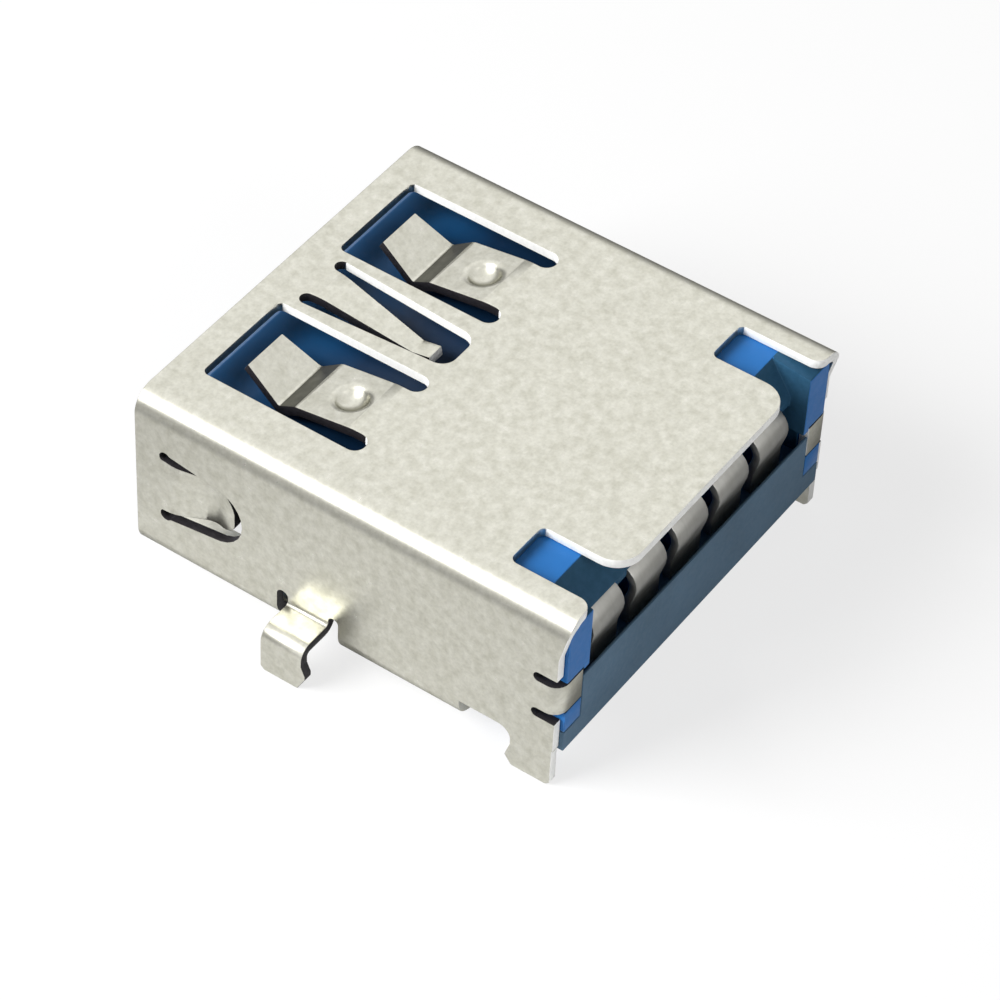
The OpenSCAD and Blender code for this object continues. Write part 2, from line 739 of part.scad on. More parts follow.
// Side view of a side block, which stands on the foot of the tail cover
module base_side() {
    polygon([
        [stop_y, board_z], [stop_y, base_top], [base_top_l, base_top], [shell_l, base_top - block_drop],
        [shell_l, foot_top + mould_gap], [base_rear, foot_top + mould_gap], [base_rear, board_z]
    ]);
}

// Room for the upper part of the tail cover between the side blocks
module cover_clearance() {
    half = cover_x + mould_gap;
    translate([-half, base_rear, -over]) cube([2 * half, cover_l + over, over + cover_top + block_gap]);
}

// Recess in a side block for the retaining tab and its fold, on the +X side
module tab_clearance() {
    corner = sheet_t + tight_r;
    recess_h = tab_h + 4 * mould_gap;
    tab_front = shell_l - sheet_t - mould_gap;
    translate([0, tab_front, tab_z - recess_h / 2]) linear_extrude(recess_h) polygon([
        [tab_x - mould_gap, over], [tab_x - mould_gap, 0], [base_w / 2 - corner, 0],
        [base_w / 2, -corner], [base_w / 2 + over, -corner], [base_w / 2 + over, over]
    ]);
}

// Blue moulding: base block inside the shell's rear, and the tongue
module insulator() color(plastic) place() difference() {
    union() {
        intersection() {
            long_prism(base_w, base_top - base_z, base_r, stop_y, shell_l, base_z);
            union() {
                translate([-block_x, 0, 0]) side_on() linear_extrude(2 * block_x) base_middle();
                both_sides() translate([block_x, 0, 0]) side_on() linear_extrude(opening_w) base_side();
            }
        }
        long_prism(base_w, board_z + over - base_z, base_r, stop_y, bottom_l + mould_gap, base_z);
        translate([0, 0, tongue_z]) tongue();
    }
    for (x = flat_x) flat_contact(x, mould_gap);
    for (x = spring_xs) {
        spring_contact(x, mould_gap);
        translate([x - groove_w / 2, groove_y, tongue_z - over])
            cube([groove_w, stop_y - groove_y, over + groove_h]);
    }
    cover_clearance();
    both_sides() tab_clearance();
}

// Tongue with its front edges sloped for the plug, standing on Z = 0
module tongue() {
    slope = 0.35;
    translate([-tongue_w / 2, 0, 0]) side_on() linear_extrude(tongue_w) polygon([
        [tongue_y, slope], [tongue_y + slope, 0], [stop_y + over, 0], [stop_y + over, tongue_t],
        [tongue_y + slope, tongue_t], [tongue_y, tongue_t - slope]
    ]);
}

// Dark moulding behind the base: a wide foot, and a groove in which the strips end and their tails pass down
module tail_cover() color(dark_plastic) place() difference() {
    union() {
        translate([-cover_x, 0, 0]) side_on() linear_extrude(2 * cover_x) polygon([
            [cover_y, board_z], [cover_y, cover_floor], [shell_l - cover_wall, cover_floor],
            [shell_l - cover_rim, cover_top], [shell_l, cover_top], [shell_l, board_z]
        ]);
        translate([-base_w / 2, cover_y, board_z]) cube([base_w, cover_l, foot_h]);
    }
    for (x = flat_x) flat_contact(x, mould_gap);
}

// Contacts, named from the -X side to the +X side
module rx_minus_contact() color(contact_metal) place() flat_contact(flat_x[0], 0);
module rx_plus_contact() color(contact_metal) place() flat_contact(flat_x[1], 0);
module drain_contact() color(contact_metal) place() flat_contact(flat_x[2], 0);
module tx_minus_contact() color(contact_metal) place() flat_contact(flat_x[3], 0);
module tx_plus_contact() color(contact_metal) place() flat_contact(flat_x[4], 0);
module vbus_contact() color(contact_metal) place() spring_contact(spring_xs[0], 0);
module data_minus_contact() color(contact_metal) place() spring_contact(spring_xs[1], 0);
module data_plus_contact() color(contact_metal) place() spring_contact(spring_xs[2], 0);
module ground_contact() color(contact_metal) place() spring_contact(spring_xs[3], 0);

shell();
insulator();
tail_cover();
rx_minus_contact();
rx_plus_contact();
drain_contact();
tx_minus_contact();
tx_plus_contact();
vbus_contact();
data_minus_contact();
data_plus_contact();
ground_contact();
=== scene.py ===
# %% [markdown]
# # A board-mount USB socket
# This lesson dresses a small USB 3 type A socket: a folded steel shell, a blue moulding with its tongue,
# a slate-coloured tail cover and nine contacts. The solids come from the construction model, in metres,
# so nothing here has to be fitted. We only give each piece its real edges and finishes, then light it.

# %% Load the solids
import math

import bpy
from mathutils import Matrix, Vector
from mathutils.bvhtree import BVHTree


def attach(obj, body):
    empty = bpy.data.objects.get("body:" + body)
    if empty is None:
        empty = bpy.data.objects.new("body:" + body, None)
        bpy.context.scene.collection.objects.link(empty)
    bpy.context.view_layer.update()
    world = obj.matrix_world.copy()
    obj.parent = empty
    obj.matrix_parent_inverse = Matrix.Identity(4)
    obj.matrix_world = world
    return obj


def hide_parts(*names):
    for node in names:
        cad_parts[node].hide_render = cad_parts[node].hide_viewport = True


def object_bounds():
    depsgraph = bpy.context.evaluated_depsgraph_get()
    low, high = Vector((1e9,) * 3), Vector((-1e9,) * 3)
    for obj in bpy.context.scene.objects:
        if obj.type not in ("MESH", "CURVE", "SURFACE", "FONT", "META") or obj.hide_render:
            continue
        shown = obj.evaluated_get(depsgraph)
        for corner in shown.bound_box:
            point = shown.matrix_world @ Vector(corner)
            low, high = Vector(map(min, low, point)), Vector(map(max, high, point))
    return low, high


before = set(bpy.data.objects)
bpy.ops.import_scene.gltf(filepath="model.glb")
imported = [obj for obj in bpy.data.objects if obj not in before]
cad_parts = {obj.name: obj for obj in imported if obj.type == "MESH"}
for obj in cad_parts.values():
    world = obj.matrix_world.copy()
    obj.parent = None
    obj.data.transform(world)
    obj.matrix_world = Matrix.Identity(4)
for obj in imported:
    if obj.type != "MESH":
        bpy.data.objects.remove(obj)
cad_box = [list(corner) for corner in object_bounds()]
MM = 0.001
print("solids:", sorted(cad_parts), "box:", cad_box)

# %% [markdown]
# ## The camera
# The photograph looks at the socket from behind, above and one side, through a long lens.
# A camera could be placed by eye, but the straight edges of the shell give its position closely:
# the turn, the height, the distance and a small roll below make the edges fall where they do in the picture.
# The camera's three axes are written into its matrix, so no target object is needed.

# %% Place the camera
look_at = Vector((2.60, -3.41, 3.50)) * MM
turn = math.radians(122.61)
height = math.radians(45.65)
roll = math.radians(3.24)
distance = 109.98 * MM

back = Vector((math.sin(turn) * math.cos(height), -math.cos(turn) * math.cos(height), math.sin(height)))
right = (-back).cross(Vector((0, 0, 1))).normalized()
up = right.cross(-back)
tilted_right = right * math.cos(roll) + up * math.sin(roll)
tilted_up = up * math.cos(roll) - right * math.sin(roll)

camera_data = bpy.data.cameras.new("photo_camera")
camera_data.sensor_width = 36
camera_data.lens = 150.2
camera_data.clip_start = 1 * MM
camera_data.clip_end = 10
camera = bpy.data.objects.new("photo_camera", camera_data)
bpy.context.scene.collection.objects.link(camera)
axes = Matrix((tilted_right, tilted_up, back)).transposed().to_4x4()
camera.matrix_world = Matrix.Translation(look_at + back * distance) @ axes
bpy.context.scene.camera = camera
print("camera at", [round(c / MM, 2) for c in camera.matrix_world.translation], "mm")

# %% [markdown]
# ## Node graphs
# Light and finishes are graphs of nodes. Adding a node, setting its options and linking its sockets takes
# several lines each time, so three small helpers do it: one for any node, one for a step of arithmetic,
# and one that turns one range of values into another. Graphs written as code keep every number in view.

# %% Helpers for node graphs
def grey(value):
    """A colour with three equal parts."""
    return (value, value, value, 1)


def add_node(tree, kind, inputs=None, **settings):
    """Adds a node, sets its options, and fills its sockets with values or links."""
    made = tree.nodes.new(kind)
    for key, value in settings.items():
        setattr(made, key, value)
    for key, value in (inputs or {}).items():
        if isinstance(value, bpy.types.NodeSocket):
            tree.links.new(value, made.inputs[key])
        else:
            made.inputs[key].default_value = value
    return made


def add_math(tree, operation, first, second):
    """The result of one step of arithmetic."""
    return add_node(tree, "ShaderNodeMath", {0: first, 1: second}, operation=operation).outputs[0]


def add_range(tree, factor, start, end, low=0.0, high=1.0, curve="LINEAR"):
    """A value that goes from low to high while the factor goes from start to end."""
    sockets = {0: factor, 1: start, 2: end, 3: low, 4: high}
    return add_node(tree, "ShaderNodeMapRange", sockets, interpolation_type=curve).outputs[0]


# %% [markdown]
# ## Rays that look and rays that light
# The socket was photographed on white. A world that is white for every ray would light the plastic from all
# sides and wash its colours out. The Light Path node tells rays apart: what the camera and the shiny metal
# see can be white, while the light that reaches matte surfaces stays gentle.

# %% Helper that picks out the rays that look
def seen_rays(tree):
    """A socket that is 1 for rays from the camera, from shiny surfaces and through clear ones."""
    path = add_node(tree, "ShaderNodeLightPath").outputs
    shiny = add_math(tree, "MAXIMUM", path["Is Camera Ray"], path["Is Glossy Ray"])
    clear = add_math(tree, "MAXIMUM", shiny, path["Is Transmission Ray"])
    unscattered = add_math(tree, "LESS_THAN", path["Diffuse Depth"], 1.0)
    return add_math(tree, "MULTIPLY", clear, unscattered)


# %% [markdown]
# ## The sky that the metal mirrors
# Metal needs something dark to mirror, or it looks like paint. A picture of a room could be wrapped around
# the socket, but a few soft steps are enough: the sky is dimmer behind the socket, and much darker just above
# the table in front of it. Only shiny surfaces see that dark part, so the camera's background stays white.

# %% Dim and dark parts of the sky
SKY = 1.2
DIM_REAR = 0.8
DARK_ROOM = 0.25
# Where each part begins and is complete, along the Y, Z and Y of the direction looked in.
AHEAD = (-0.1, -0.5)
LOW = (0.55, 0.28)
BEHIND = (-0.2, 0.4)

world = bpy.data.worlds.new("studio")
bpy.context.scene.world = world
world.use_nodes = True
sky = world.node_tree
sky.nodes.clear()
looked_in = add_node(sky, "ShaderNodeTexCoord").outputs["Generated"]
direction = add_node(sky, "ShaderNodeSeparateXYZ", {0: looked_in}).outputs
glossy = add_node(sky, "ShaderNodeLightPath").outputs["Is Glossy Ray"]
ahead = add_range(sky, direction["Y"], *AHEAD, curve="SMOOTHSTEP")
low = add_range(sky, direction["Z"], *LOW, curve="SMOOTHSTEP")
dark_part = add_math(sky, "MULTIPLY", add_math(sky, "MULTIPLY", ahead, low), glossy)
shade = add_range(sky, dark_part, 0.0, 1.0, 1.0, DARK_ROOM)
behind = add_range(sky, direction["Y"], *BEHIND, SKY, SKY * DIM_REAR)
dome = add_math(sky, "MULTIPLY", shade, behind)
print("sky:", SKY, "behind:", SKY * DIM_REAR, "dark part:", SKY * DARK_ROOM)

# %% [markdown]
# ## A softbox for the fold
# The rounded fold between the top plate and the wall carries a white band, the mirror image of a lamp.
# The key lamp itself would do, but it would also turn the whole plate white in low views. So the metal sees
# a gentler round softbox instead, painted on the sky. It stands where the fold mirrors it to the camera:
# the line to the camera, reflected in the normal of the fold's upper half, points at it.

# %% Softbox on the sky
SOFTBOX = 6.0
FOLD_TILT = math.radians(40)
# The cosines of the angles from the softbox's middle to its rim and to its full brightness.
SOFT_RIM = (0.925, 0.97)

fold_normal = Vector((math.sin(FOLD_TILT), 0, math.cos(FOLD_TILT)))
to_softbox = -back.reflect(fold_normal)
nearness = add_node(sky, "ShaderNodeVectorMath", {0: looked_in, 1: to_softbox}, operation="DOT_PRODUCT")
softbox = add_range(sky, nearness.outputs["Value"], *SOFT_RIM, 0.0, SOFTBOX, curve="SMOOTHSTEP")
tone = add_math(sky, "MAXIMUM", dome, add_math(sky, "MULTIPLY", softbox, glossy))
print("softbox towards", [round(part, 3) for part in to_softbox])

# %% [markdown]
# ## One sky for both kinds of rays
# The painted sky goes to the rays that look, and a weak, even one to the rays that light.
# A Mix Shader joins them. The Standard view transform then shows colours about as they are written.

# %% Join the two skies
WORLD_LIGHT = 0.06
soft_sky = add_node(sky, "ShaderNodeBackground", {"Color": grey(1), "Strength": WORLD_LIGHT}).outputs[0]
white_sky = add_node(sky, "ShaderNodeBackground", {"Color": grey(1), "Strength": tone}).outputs[0]
both = add_node(sky, "ShaderNodeMixShader", {0: seen_rays(sky), 1: soft_sky, 2: white_sky}).outputs[0]
add_node(sky, "ShaderNodeOutputWorld", {"Surface": both})
bpy.context.scene.view_settings.view_transform = "Standard"
print("sky nodes:", len(sky.nodes))

# %% [markdown]
# ## The floor
# The real socket sits in a board, but the photograph shows it alone on white. A large plane at the leg tips
# catches a soft shadow. It glows a little, so that the camera sees it fade into the white sky, and the metal
# sees it darker farther out, as it would see a table top. With no floor at all, the walls would mirror
# nothing but sky, and the socket would seem to float.

# %% The floor under the leg tips
FLOOR_SIZE = 1.2
MIDDLE = Vector((0, -5.4, 2.0)) * MM
bpy.ops.object.select_all(action="DESELECT")
bpy.ops.mesh.primitive_plane_add(size=FLOOR_SIZE, location=(MIDDLE.x, MIDDLE.y, cad_box[0][2]))
floor = bpy.context.object
floor.name = "floor"
print("floor at", round(floor.location.z / MM, 2), "mm")

# %% The floor's material
FLOOR_TONE = 0.9
# How much of the floor glows for shiny surfaces and for the camera.
GLOWING = (0.3, 0.75)
# How much light the metal misses from it, at two distances from the socket's middle.
NEAR_AND_FAR = (11 * MM, 24 * MM)
MISSING = (0.12, 0.62)

floor_material = bpy.data.materials.new("pale_floor")
floor_material.use_nodes = True
tree = floor_material.node_tree
tree.nodes.clear()
path = add_node(tree, "ShaderNodeLightPath").outputs
matte = add_node(tree, "ShaderNodeBsdfDiffuse", {"Color": grey(FLOOR_TONE)}).outputs[0]
glow = add_node(tree, "ShaderNodeEmission", {"Color": grey(1), "Strength": 1.0}).outputs[0]
dark = add_node(tree, "ShaderNodeEmission", {"Color": grey(0), "Strength": 0.0}).outputs[0]
share = add_range(tree, path["Is Camera Ray"], 0.0, 1.0, *GLOWING)
glowing = add_math(tree, "MULTIPLY", seen_rays(tree), share)
pale = add_node(tree, "ShaderNodeMixShader", {0: glowing, 1: matte, 2: glow}).outputs[0]
spot = add_node(tree, "ShaderNodeTexCoord").outputs["Object"]
from_middle = add_node(tree, "ShaderNodeVectorMath", {0: spot}, operation="LENGTH").outputs["Value"]
missing = add_range(tree, from_middle, *NEAR_AND_FAR, *MISSING)
unlit = add_math(tree, "MULTIPLY", missing, path["Is Glossy Ray"])
table = add_node(tree, "ShaderNodeMixShader", {0: unlit, 1: pale, 2: dark}).outputs[0]
add_node(tree, "ShaderNodeOutputMaterial", {"Surface": table})
floor.data.materials.append(floor_material)
print(floor_material.name, len(tree.nodes), "nodes")

# %% [markdown]
# ## Two soft lamps
# The light in the photograph comes from the mouth's side, with a weak fill from the rear. Square area lamps
# give soft shadows. Point lamps would draw hard ones. The key lamp is kept out of what shiny surfaces see,
# because the softbox on the sky stands in for it there.


# %% Place the lamps
def area_lamp(name, direction, reach, size, power):
    """A square lamp at the given distance, facing the middle of the socket."""
    data = bpy.data.lights.new(name, "AREA")
    data.shape = "SQUARE"
    data.size = size
    data.energy = power
    lamp = bpy.data.objects.new(name, data)
    bpy.context.scene.collection.objects.link(lamp)
    lamp.location = MIDDLE + Vector(direction).normalized() * reach
    lamp.rotation_euler = Vector(direction).to_track_quat("Z", "Y").to_euler()
    print(name, "at", [round(part, 3) for part in lamp.location], "m")
    return lamp


key_lamp = area_lamp("key_lamp", direction=(0.62, -0.55, 0.56), reach=0.22, size=0.14, power=0.95)
key_lamp.visible_glossy = False
area_lamp("rear_lamp", direction=(0.2, 0.8, 0.5), reach=0.25, size=0.12, power=0.17)

# %% [markdown]
# ## Finishes
# Every finish is made from nodes on Object coordinates, which are metres in the socket's own frame,
# so a noise scale of 3000 gives grains a third of a millimetre apart. Pictures of real surfaces could be used
# too, but nodes need no files and no unwrapping. Each finish has a tone, a roughness and a fine bump.


# %% Helpers that start a finish
def finish(name, **values):
    """A material with one principled shader, its node tree and its object coordinates."""
    material = bpy.data.materials.new(name)
    material.use_nodes = True
    tree = material.node_tree
    shader = tree.nodes["Principled BSDF"]
    for key, value in values.items():
        shader.inputs[key.replace("_", " ").title().replace("Ior", "IOR")].default_value = value
    place = add_node(tree, "ShaderNodeTexCoord").outputs["Object"]
    return material, tree, shader, place


def grain(tree, place, scale, detail, stretch=(1, 1, 1)):
    """A noise factor, drawn out along an axis where stretch is small."""
    mapping = add_node(tree, "ShaderNodeMapping", {"Vector": place, "Scale": stretch})
    sockets = {"Vector": mapping.outputs[0], "Scale": scale, "Detail": detail, "Roughness": 0.6}
    return add_node(tree, "ShaderNodeTexNoise", sockets).outputs[0]


# %% Helpers for tones and bumps
def ramp(tree, factor, low, high, start=0.3, end=0.7):
    """Colours or greys between two values, from a noise factor."""
    made = add_node(tree, "ShaderNodeValToRGB", {0: factor})
    made.color_ramp.elements[0].position = start
    made.color_ramp.elements[1].position = end
    made.color_ramp.elements[0].color = low
    made.color_ramp.elements[1].color = high
    return made.outputs[0]


def vary(tree, shader, socket, factor, low, high):
    """Lets a socket of the shader vary between two tones."""
    tree.links.new(ramp(tree, factor, low, high), shader.inputs[socket])


def blended(tree, factor, first, second, kind="MIX"):
    """Two colours mixed by a factor."""
    sockets = {0: factor, 6: first, 7: second}
    return add_node(tree, "ShaderNodeMix", sockets, data_type="RGBA", blend_type=kind).outputs[2]


def roughen(tree, shader, heights, strength, depth):
    """Gives a shader a bump from a height socket."""
    bump = add_node(tree, "ShaderNodeBump", {"Height": heights, "Strength": strength, "Distance": depth})
    tree.links.new(bump.outputs[0], shader.inputs["Normal"])


# %% [markdown]
# ### Plated steel
# The shell is stamped from plated strip: a satin metal with a faint mottle, small specks and the long marks
# of the rolling mill. Three noises make these, one of them drawn out along the sheet. A matt plating mirrors
# less at grazing angles than polished metal does, and the specular tint of a metallic shader sets that.

# %% Plated steel
steel, tree, shader, place = finish("satin_plated_steel", metallic=1.0, specular_tint=grey(0.4))
mottle = grain(tree, place, scale=3400, detail=6)
specks = grain(tree, place, scale=9500, detail=3)
rolled = grain(tree, place, scale=5200, detail=2, stretch=(1, 0.06, 1))
body_tone = ramp(tree, mottle, (0.595, 0.585, 0.5, 1), (0.745, 0.735, 0.655, 1))
speck_tone = ramp(tree, specks, grey(0.92), grey(1.0), start=0.35, end=0.6)
steel_tone = blended(tree, 1.0, body_tone, speck_tone, "MULTIPLY")
tree.links.new(steel_tone, shader.inputs["Base Color"])
vary(tree, shader, "Roughness", mottle, grey(0.36), grey(0.27))
steel_heights = blended(tree, 0.4, specks, rolled)
roughen(tree, shader, steel_heights, strength=0.12, depth=0.01 * MM)
print(steel.name, len(tree.nodes), "nodes")

# %% [markdown]
# ### Sheared edges
# Where the punch has cut the sheet, the edge is torn, pale and dull. Its near-white tone is partly that
# paleness and partly a painted highlight for the glint of the die-rolled edge, which a nearly matte shader
# with a fine torn grain shows from all sides better than a metal would.

# %% Sheared edge of the sheet
edge, tree, shader, place = finish("sheared_edge_and_highlight", metallic=0.15)
tear = grain(tree, place, scale=9000, detail=4, stretch=(1, 1, 0.4))
# Partly painted highlight: the near-white base tone stands in for the glint of the die-rolled edge.
vary(tree, shader, "Base Color", tear, (0.86, 0.86, 0.84, 1), (0.95, 0.95, 0.93, 1))
vary(tree, shader, "Roughness", tear, grey(0.66), grey(0.54))
roughen(tree, shader, tear, strength=0.12, depth=0.006 * MM)
print(edge.name, len(tree.nodes), "nodes")

# %% [markdown]
# ### Dark edges of slots
# In the narrow slots around the springs the same edges look almost black, because they lie in deep shade.
# A near-black tone of their own is painted shade, which shows that from every side with no need for many
# bounces.

# %% Dark edge of a slot
painted_shade_slot_edge, tree, shader, place = finish("near_black_painted_shade", metallic=0.3)
tear = grain(tree, place, scale=9000, detail=4, stretch=(1, 0.4, 1))
# Painted shade: a near-black base tone.
vary(tree, shader, "Base Color", tear, (0.009, 0.008, 0.01, 1), (0.02, 0.018, 0.021, 1))
vary(tree, shader, "Roughness", tear, grey(0.7), grey(0.55))
roughen(tree, shader, tear, strength=0.15, depth=0.006 * MM)
print(painted_shade_slot_edge.name, len(tree.nodes), "nodes")

# %% [markdown]
# ### Ramp steel with painted shade
# The ramps of the spring arms are pressed down steeply and look much darker than the plate. So they get
# the plating's mottle and rolling marks in a darker tone, which is painted shade.

# %% Steel of the ramps, with painted shade
ramp_steel_painted_shade, tree, shader, place = finish("ramp_steel_painted_shade", metallic=1.0)
mottle = grain(tree, place, scale=3400, detail=6)
rolled = grain(tree, place, scale=5200, detail=2, stretch=(1, 0.06, 1))
# Painted shade: a base tone far darker than the plate's.
vary(tree, shader, "Base Color", mottle, (0.11, 0.11, 0.1, 1), (0.17, 0.17, 0.15, 1))
vary(tree, shader, "Roughness", mottle, grey(0.4), grey(0.32))
roughen(tree, shader, rolled, strength=0.1, depth=0.008 * MM)
print(ramp_steel_painted_shade.name, len(tree.nodes), "nodes")

# %% [markdown]
# ### Contact metal
# The contacts are stamped from tinned strip, greyer and duller than the shell. Their drawing marks run along
# each strip, so that noise is stretched along two axes, and a soft cloud breaks up the tone.

# %% Contact metal
contact_tin, tree, shader, place = finish("tinned_contact", metallic=1.0)
drawn = grain(tree, place, scale=9000, detail=2, stretch=(1, 0.04, 0.04))
cloud = grain(tree, place, scale=3000, detail=4)
drawn_tone = ramp(tree, drawn, (0.36, 0.355, 0.33, 1), (0.42, 0.415, 0.39, 1))
cloud_tone = ramp(tree, cloud, (0.35, 0.345, 0.32, 1), (0.43, 0.425, 0.4, 1))
tree.links.new(blended(tree, 0.5, drawn_tone, cloud_tone), shader.inputs["Base Color"])
vary(tree, shader, "Roughness", cloud, grey(0.5), grey(0.4))
roughen(tree, shader, drawn, strength=0.05, depth=0.004 * MM)
print(contact_tin.name, len(tree.nodes), "nodes")

# %% [markdown]
# ### Blue moulding
# The base and the tongue are one piece of blue plastic with the fine skin of a spark-eroded mould. The base
# is bright in the notches, while the tongue under the windows looks a deep blue. Light alone doesn't make
# that much difference here, so painted shade deepens the tone from the base to the tongue.

# %% Blue moulding
MOUTH = cad_box[0][1]
# Where the painted shade on the tongue changes, and where the base's full blue begins, measured from the
# mouth.
UNDER_ARMS = (MOUTH + 2.42 * MM, MOUTH + 3.52 * MM)
AT_BASE = (MOUTH + 8.32 * MM, MOUTH + 9.32 * MM)

blue, tree, shader, place = finish("blue_moulding", ior=1.5, specular_ior_level=0.2)
skin = grain(tree, place, scale=5200, detail=3)
flow = grain(tree, place, scale=420, detail=3)
blue_tone = ramp(tree, flow, (0.018, 0.135, 0.40, 1), (0.026, 0.165, 0.47, 1))
along = add_node(tree, "ShaderNodeSeparateXYZ", {0: place}).outputs["Y"]
under_arms = add_range(tree, along, *UNDER_ARMS)
at_base = add_range(tree, along, *AT_BASE)
# Painted shade: over the tongue the blue is multiplied down, more so past the first few millimetres, and the
# full blue returns at the base.
painted_shade_factor = blended(tree, under_arms, (0.45, 0.42, 0.38, 1), (0.3, 0.17, 0.15, 1))
blue_in_painted_shade = blended(tree, 1.0, blue_tone, painted_shade_factor, "MULTIPLY")
tree.links.new(blended(tree, at_base, blue_in_painted_shade, blue_tone), shader.inputs["Base Color"])
vary(tree, shader, "Roughness", skin, grey(0.42), grey(0.3))
roughen(tree, shader, skin, strength=0.12, depth=0.008 * MM)
print(blue.name, len(tree.nodes), "nodes")

# %% [markdown]
# ### Blue in the plate's shade
# The lip over the strips and the sides of the rear blocks are the same plastic, but lie in the plate's shade
# and look like dark petrol. A second, duller blue gives those faces that look.

# %% Blue of the shaded lip
lip_blue, tree, shader, place = finish("blue_lip", ior=1.5, specular_ior_level=0.1)
skin = grain(tree, place, scale=5200, detail=3)
vary(tree, shader, "Base Color", skin, (0.022, 0.075, 0.135, 1), (0.028, 0.09, 0.165, 1))
vary(tree, shader, "Roughness", skin, grey(0.5), grey(0.4))
roughen(tree, shader, skin, strength=0.12, depth=0.008 * MM)
print(lip_blue.name, len(tree.nodes), "nodes")

# %% [markdown]
# ### Slate moulding
# The tail cover is a second, slate-blue plastic with a coarser skin. A slow noise stands for the flow of the
# melt in the mould, and keeps the long rear face from looking like a flat fill.

# %% Slate moulding
slate, tree, shader, place = finish("slate_moulding", ior=1.48, specular_ior_level=0.15)
skin = grain(tree, place, scale=6000, detail=4)
flow = grain(tree, place, scale=500, detail=3)
vary(tree, shader, "Base Color", flow, (0.074, 0.135, 0.2, 1), (0.092, 0.165, 0.245, 1))
vary(tree, shader, "Roughness", skin, grey(0.55), grey(0.42))
roughen(tree, shader, skin, strength=0.2, depth=0.01 * MM)
print(slate.name, len(tree.nodes), "nodes")

# %% [markdown]
# ## Pieces with real edges
# A solid from the construction model has knife-sharp edges. A stamped or moulded piece never has: the die
# rolls the edge of the sheet over, and a mould's corners are a little round. Each solid is copied, its loose
# triangles are merged into clean faces, and a Bevel modifier breaks the edges by a few hundredths of a
# millimetre. Weighted normals then keep the large faces flat to the eye.

# %% Copy a solid as a clean mesh
MERGE = 0.0005 * MM
FLAT = math.radians(0.3)


def clean_copy(node, name):
    """A merged copy of a solid, left selected and active."""
    bpy.ops.object.select_all(action="DESELECT")
    piece = bpy.data.objects.new(name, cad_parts[node].data.copy())
    bpy.context.scene.collection.objects.link(piece)
    piece.data.materials.clear()
    piece.select_set(True)
    bpy.context.view_layer.objects.active = piece
    bpy.ops.mesh.customdata_custom_splitnormals_clear()
    bpy.ops.object.mode_set(mode="EDIT")
    bpy.ops.mesh.select_all(action="SELECT")
    bpy.ops.mesh.remove_doubles(threshold=MERGE)
    bpy.ops.mesh.dissolve_limited(angle_limit=FLAT)
    bpy.ops.object.mode_set(mode="OBJECT")
    return piece


# %% Break the edges of a piece
SHARP = math.radians(35)
SMOOTH = math.radians(40)


def break_edges(piece, width):
    """Rounds every sharp edge a little, and keeps flat faces flat in the shading."""
    bpy.ops.object.select_all(action="DESELECT")
    piece.select_set(True)
    bpy.context.view_layer.objects.active = piece
    bevel = piece.modifiers.new("broken_edges", "BEVEL")
    bevel.width = width
    bevel.segments = 2
    bevel.limit_method = "ANGLE"
    bevel.angle_limit = SHARP
    bevel.use_clamp_overlap = False
    bpy.ops.object.modifier_apply(modifier=bevel.name)
    bpy.ops.object.shade_smooth_by_angle(angle=SMOOTH)
    flat = piece.modifiers.new("flat_faces", "WEIGHTED_NORMAL")
    flat.keep_sharp = True
    bpy.ops.object.modifier_apply(modifier=flat.name)


# %% [markdown]
# ## The shell
# The plating covers both sides of the sheet, but its edges were torn through by the punch. A face is such an
# edge when it is narrow and has more metal behind it than the sheet is thick. A ray from the middle of the
# face into the metal measures that. Edges could be picked by hand, but the ray still finds them after
# a change of the model.

# %% Copy the shell and find its torn edges
SHEET = 0.3 * MM
NARROW = 1.02 * SHEET
THICK = 1.25 * SHEET
BELOW_FACE = 0.002 * MM
shell = clean_copy("shell", "folded_shell")
shell_points = [vertex.co for vertex in shell.data.vertices]
shell_metal = BVHTree.FromPolygons(shell_points, [face.vertices[:] for face in shell.data.polygons])


def is_torn(face):
    """True for a narrow face with more metal behind it than the sheet is thick."""
    corners = [shell_points[number] for number in face.vertices]
    around = sum((a - b).length for a, b in zip(corners, corners[1:] + corners[:1]))
    hit = shell_metal.ray_cast(face.center - face.normal * BELOW_FACE, -face.normal)
    return face.area < around / 2 * NARROW and hit[0] is not None and hit[3] > THICK


print("torn faces:", sum(is_torn(face) for face in shell.data.polygons))

# %% [markdown]
# ### Four finishes on one sheet
# Torn edges at the outline are pale, partly with a painted highlight. In the slots of the walls and around
# the springs they are dark with painted shade. Ends of openings that face the rear keep the plating, since
# they mirror the sky, and the ramps of the arms get a darker steel as painted shade. A face's place, measured
# from the mouth and the top plate, tells which of these it is.

# %% Places on the shell, in millimetres from its middle, its mouth or its top
TOP = cad_box[1][2]
WALL_FROM_MIDDLE = (5.7, 6.6)
WALL_FROM_MOUTH = (0.62, 13.62)
WALL_FROM_TOP = (1.07, 5.17)
SPRINGS_FROM_MOUTH = (1.02, 5.82)
RAMPS_FROM_MOUTH = (2.92, 3.52)
ARM_FROM_MIDDLE = 3.05
ARM_REACH = 1.2
RAMP_REACH = 4.3
LANCE_REACH = 0.66
LANCE_SLOTS_END = 5.32
LANCE_TIP_REACH = 0.1
LANCE_TIP_START = 4.92
BESIDE_LANCE = 1.3
REAR_EDGE = 12.02
# How far a face's normal has to turn to the rear, to the front, and upright.
REARWARD = 0.35
FORWARD = -0.4
UPRIGHT = 0.5
print("mouth at", round(MOUTH / MM, 2), "mm, top at", round(TOP / MM, 2), "mm")


# %% Which finish a face takes
PLATED, SHEARED_AND_HIGHLIGHT, DARK, RAMP_SHADE = range(4)


def within(value, limits):
    """True between two limits."""
    return limits[0] < value < limits[1]


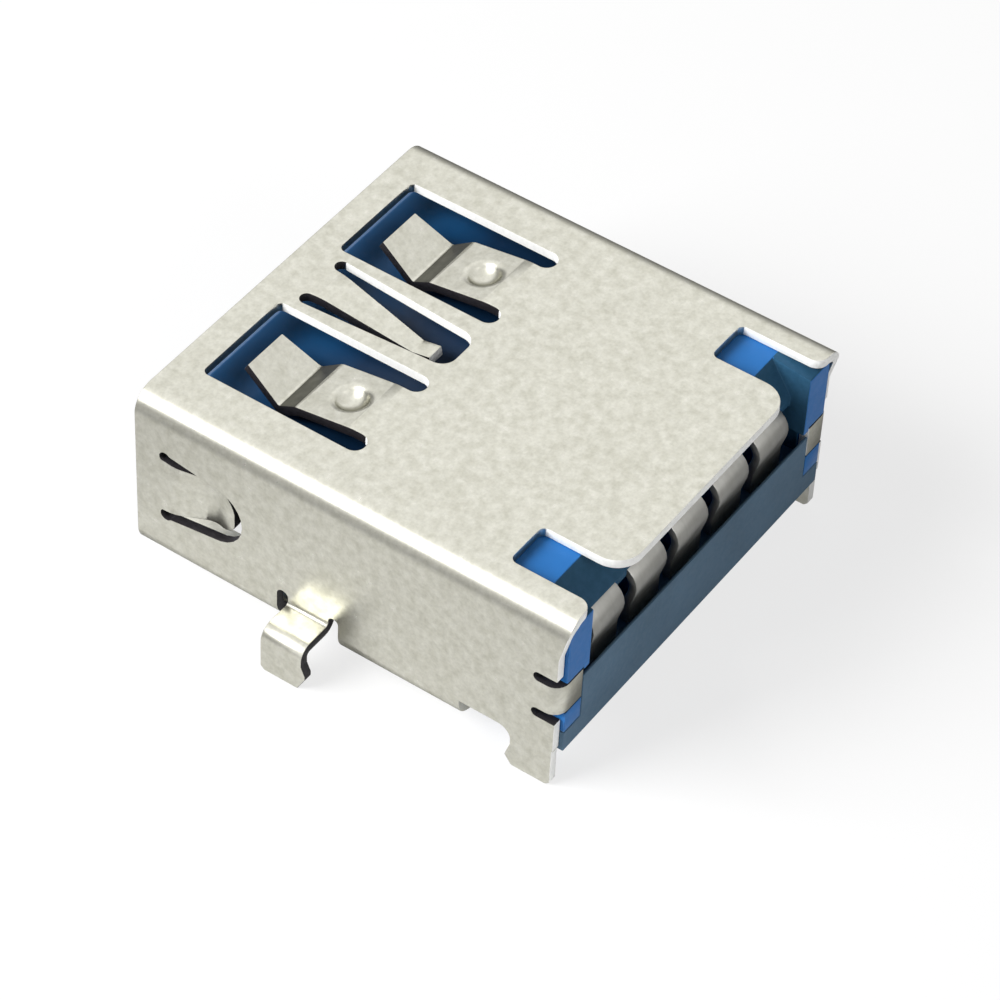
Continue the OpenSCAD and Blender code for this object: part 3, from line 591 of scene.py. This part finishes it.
def torn_finish(face, across, from_mouth, from_top):
    """The finish of a torn edge."""
    to_rear = face.normal.y > REARWARD and from_mouth < REAR_EDGE
    if to_rear and across > BESIDE_LANCE and from_top < WALL_FROM_TOP[0]:
        return PLATED
    along_wall = within(across, WALL_FROM_MIDDLE) and within(from_mouth, WALL_FROM_MOUTH)
    in_wall = along_wall and within(from_top, WALL_FROM_TOP)
    by_arm = abs(across - ARM_FROM_MIDDLE) < ARM_REACH
    by_lance = across < LANCE_REACH and from_mouth < LANCE_SLOTS_END
    by_spring = within(from_mouth, SPRINGS_FROM_MOUTH) and (by_arm or by_lance)
    lance_tip = to_rear and across < LANCE_TIP_REACH and from_mouth > LANCE_TIP_START
    # Painted shade: these torn edges take the near-black tone.
    if (in_wall or by_spring or to_rear) and not lance_tip:
        return DARK
    # Other upright torn edges take the pale tone, partly a painted highlight.
    return SHEARED_AND_HIGHLIGHT if abs(face.normal.z) < UPRIGHT else None


def shell_finish(face):
    """The finish of any face of the shell."""
    across = abs(face.center.x) / MM
    from_mouth = (face.center.y - MOUTH) / MM
    from_top = (TOP - face.center.z) / MM
    torn = torn_finish(face, across, from_mouth, from_top) if is_torn(face) else None
    if torn is not None:
        return torn
    # Painted shade: the steep faces of the ramps take the darker steel.
    steep = face.normal.y < FORWARD and abs(face.normal.z) > UPRIGHT
    on_ramp = across < RAMP_REACH and within(from_mouth, RAMPS_FROM_MOUTH)
    return RAMP_SHADE if steep and on_ramp else PLATED


# %% Finish the shell
SHELL_BEVEL = 0.03 * MM
for material in (steel, edge, painted_shade_slot_edge, ramp_steel_painted_shade):
    shell.data.materials.append(material)
counts = [0, 0, 0, 0]
for face in shell.data.polygons:
    face.material_index = shell_finish(face)
    counts[face.material_index] += 1
break_edges(shell, SHELL_BEVEL)
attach(shell, "root")
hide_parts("shell")
# In the counts, sheared is the pale tone that is partly a painted highlight, and slot and drawn are painted
# shade.
print("shell faces:", len(shell.data.polygons), "plated, sheared, slot, drawn:", counts)

# %% [markdown]
# ## The mouldings and the contacts
# The blue moulding's corners are rounder than the sheet's, as the corners of thick mouldings are. The cover
# and the contacts are finer, so their edges are broken less. On the blue moulding, the slope under the
# plate's rear edge, the lip's end, and the sides and tops of the rear blocks take the shaded blue. Splitting
# the piece there would add a seam that the real moulding doesn't have, so its faces are sorted instead.

# %% Faces of the blue moulding in the plate's shade
BLOCK_START = 4.9 * MM
LIP_HEIGHT = 3 * MM
SLOPE = (0.4, 0.7)
FACING_REAR = 0.6
FACING = 0.7


def in_shade(face):
    """True for the slope, the lip's end, and the sides and tops of the rear blocks."""
    to_side, to_rear, to_top = face.normal
    beside = abs(face.center.x) > BLOCK_START
    on_slope = to_rear > FACING_REAR and within(to_top, SLOPE)
    lip_end = to_rear > FACING_REAR and face.center.z > LIP_HEIGHT and not beside
    on_block = beside and face.center.y > 0 and (abs(to_side) > FACING or to_top > FACING)
    return on_slope or lip_end or on_block


# %% Mouldings and contacts
MOULDING_BEVEL = 0.05 * MM
FINE_BEVEL = 0.025 * MM
DRESSED = [
    ("insulator", "blue_base_and_tongue", blue, "blue_plastic", MOULDING_BEVEL),
    ("tail_cover", "slate_tail_cover", slate, "slate_plastic", FINE_BEVEL),
]
for node in sorted(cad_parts):
    if node.endswith("_contact"):
        DRESSED.append((node, node + "_stamping", contact_tin, "contact_metal", FINE_BEVEL))
for node, name, material, slot, width in DRESSED:
    piece = clean_copy(node, name)
    piece.data.materials.append(material)
    if node == "insulator":
        piece.data.materials.append(lip_blue)
        for face in piece.data.polygons:
            face.material_index = int(in_shade(face))
    break_edges(piece, width)
    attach(piece, "root")
    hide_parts(node)
    print(name, len(piece.data.polygons), "faces")
